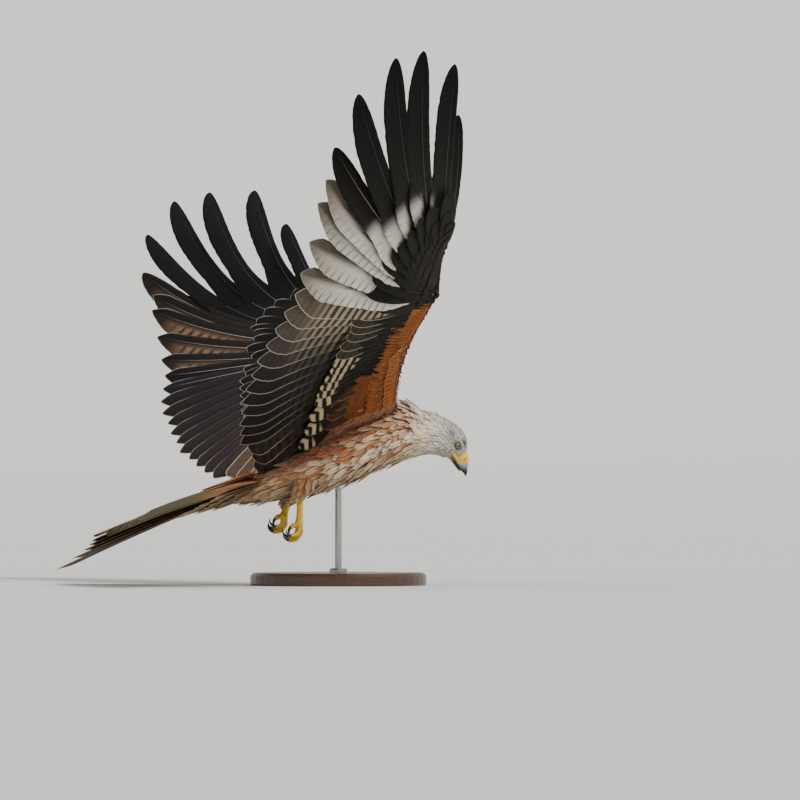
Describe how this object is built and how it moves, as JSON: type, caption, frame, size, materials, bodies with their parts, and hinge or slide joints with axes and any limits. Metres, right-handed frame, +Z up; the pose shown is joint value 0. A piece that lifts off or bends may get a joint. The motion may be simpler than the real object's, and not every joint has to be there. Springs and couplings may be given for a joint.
{
  "type": "red kite model",
  "caption": "Life-size still model of a red kite in flight with raised wings and fanned tail, held on a round display stand.",
  "frame": {"origin": "middle of the underside of the stand's base as claimed by its mount, 74 mm ahead of it along the bird: the floor point under the midpoint between the shoulders is 0, 0, 0", "axes": "+X is the way the bird heads, +Y is its left, +Z is up"},
  "size_m": [0.5452, 1.3081, 0.7446],
  "materials": {
    "body_plumage": "small overlapping body feathers, matt",
    "pale_plumage": "short pale feathers with dark shaft streaks, matt",
    "wing_feathers": "flight feathers and coverts, slight sheen",
    "tail_feathers": "tail feathers, slight sheen",
    "scaled_skin": "bare yellow skin with scales, satin",
    "horn": "horn sheath, semi-gloss",
    "eye": "polished glass eye, wet gloss",
    "base_wood": "turned and satin varnished",
    "rod_steel": "brushed"
  },
  "bodies": {
    "root": {"claw_right_inner": "horn", "claw_right_middle": "horn", "claw_right_outer": "horn", "claw_right_hind": "horn", "leg_right_thigh": "body_plumage", "leg_right_tarsus": "scaled_skin", "leg_right_toes": "scaled_skin", "claw_left_inner": "horn", "claw_left_middle": "horn", "claw_left_outer": "horn", "claw_left_hind": "horn", "leg_left_thigh": "body_plumage", "leg_left_tarsus": "scaled_skin", "leg_left_toes": "scaled_skin", "head": "pale_plumage", "cere": "scaled_skin", "bill_upper": "horn", "bill_lower": "horn", "eye_left": "eye", "eye_right": "eye", "neck": "pale_plumage", "torso": "body_plumage", "tail": "tail_feathers", "wing_right_arm": "wing_feathers", "wing_right_hand": "wing_feathers", "wing_left_arm": "wing_feathers", "wing_left_hand": "wing_feathers", "stand_base": "base_wood", "stand_rod": "rod_steel"}
  },
  "joints": []
}
